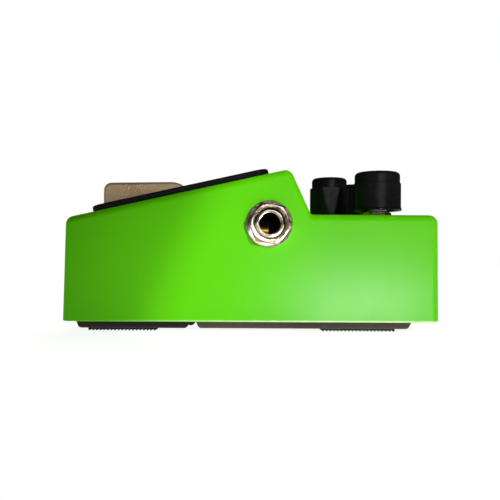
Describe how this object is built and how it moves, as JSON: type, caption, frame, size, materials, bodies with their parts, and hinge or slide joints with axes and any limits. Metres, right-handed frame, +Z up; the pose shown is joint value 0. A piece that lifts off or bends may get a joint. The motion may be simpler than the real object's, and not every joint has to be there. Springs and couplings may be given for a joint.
{
  "type": "guitar effects pedal",
  "caption": "Wedge-shaped green metal floor pedal for guitar: a sprung treadle in a black plate, black knobs on a stepped rear deck, side jacks and a hinged battery door.",
  "frame": {"origin": "under the middle of the whole bounding box, on the surface that the rubber strips rest on", "axes": "+Z up, +Y from the player towards the knobs and the rear wall, +X towards the input jack"},
  "size_m": [0.0824, 0.124, 0.0555],
  "materials": {
    "green_paint": "bright lime green enamel, satin gloss, over die-cast aluminium",
    "black_plastic": "fine-grained matte black moulding",
    "satin_nickel": "satin nickel plate with a fine sparkle",
    "bright_nickel": "bright nickel plate",
    "zinc_steel": "zinc-plated steel",
    "spring_steel": "drawn spring steel",
    "cover_plate": "dark grey-brown painted sheet steel",
    "black_rubber": "matte ribbed rubber",
    "white_inlay": "matte white",
    "red_lens": "translucent red epoxy, unlit",
    "gold_contact": "gold-plated leaf",
    "board_green": "green solder mask over glass-epoxy",
    "battery_sleeve": "plain printed steel sleeve",
    "red_wire": "soft insulation",
    "black_wire": "soft insulation",
    "blue_sleeve": "shrink sleeve"
  },
  "bodies": {
    "pedal_body": {"base_plate": "cover_plate", "base_screw_front_left": "zinc_steel", "base_screw_front_right": "zinc_steel", "base_screw_rear_left": "zinc_steel", "base_screw_rear_right": "zinc_steel", "battery": "battery_sleeve", "battery_box": "black_plastic", "battery_lead_black": "black_wire", "battery_lead_red": "red_wire", "battery_snap": "black_plastic", "bezel_plate": "black_plastic", "bracket_screw_left": "zinc_steel", "bracket_screw_right": "zinc_steel", "capacitor_left": "blue_sleeve", "capacitor_right": "blue_sleeve", "drive_nut": "bright_nickel", "drive_pot": "zinc_steel", "footswitch_case": "black_plastic", "housing": "green_paint", "input_jack_body": "black_plastic", "input_jack_bushing": "bright_nickel", "input_jack_nut": "bright_nickel", "input_jack_washer": "bright_nickel", "input_tip_contact": "gold_contact", "input_wire": "red_wire", "led": "red_lens", "led_holder": "bright_nickel", "level_nut": "bright_nickel", "level_pot": "zinc_steel", "main_board": "board_green", "op_amp_chip": "black_plastic", "output_jack_body": "black_plastic", "output_jack_bushing": "bright_nickel", "output_jack_nut": "bright_nickel", "output_jack_washer": "bright_nickel", "output_tip_contact": "gold_contact", "output_wire": "black_wire", "power_inlet": "black_plastic", "power_inlet_pin": "bright_nickel", "rear_rubber_strip": "black_rubber", "switch_bracket": "zinc_steel", "tone_nut": "bright_nickel", "tone_pot": "zinc_steel", "treadle_hinge_pin": "zinc_steel", "treadle_spring_left": "spring_steel", "treadle_spring_right": "spring_steel"},
    "treadle_body": {"treadle": "satin_nickel"},
    "footswitch_button_body": {"footswitch_button": "white_inlay"},
    "drive_control": {"drive_knob": "black_plastic", "drive_pointer": "white_inlay", "drive_shaft": "bright_nickel"},
    "tone_control": {"tone_knob": "black_plastic", "tone_pointer": "white_inlay", "tone_shaft": "bright_nickel"},
    "level_control": {"level_knob": "black_plastic", "level_pointer": "white_inlay", "level_shaft": "bright_nickel"},
    "battery_door_body": {"battery_door": "cover_plate", "front_rubber_strip": "black_rubber"}
  },
  "joints": [
    {"name": "treadle_press", "type": "hinge", "parent": "pedal_body", "child": "treadle_body", "pos_m": [0, -0.0185, 0.0415], "axis": [1, 0, 0], "range_deg": [0, 4.5], "stiffness_Nm_per_rad": 0.9, "springref_deg": -10, "deforming": ["treadle_spring_left", "treadle_spring_right"]},
    {"name": "footswitch_travel", "type": "slide", "parent": "pedal_body", "child": "footswitch_button_body", "axis": [0, 0, -1], "range_m": [0, 0.0016]},
    {"name": "drive_turn", "type": "hinge", "parent": "pedal_body", "child": "drive_control", "pos_m": [-0.0205, 0.0448, 0.045], "axis": [0, 0, 1], "range_deg": [-150, 150]},
    {"name": "tone_turn", "type": "hinge", "parent": "pedal_body", "child": "tone_control", "pos_m": [0, 0.0306, 0.045], "axis": [0, 0, 1], "range_deg": [-150, 150]},
    {"name": "level_turn", "type": "hinge", "parent": "pedal_body", "child": "level_control", "pos_m": [0.0205, 0.0448, 0.045], "axis": [0, 0, 1], "range_deg": [-150, 150]},
    {"name": "battery_door_swing", "type": "hinge", "parent": "pedal_body", "child": "battery_door_body", "pos_m": [0, -0.0204, 0.0032], "axis": [1, 0, 0], "range_deg": [0, 90]}
  ],
  "couplings": [
    {"joint": "footswitch_travel", "follows": "treadle_press", "m_per_rad": 0.0195}
  ]
}
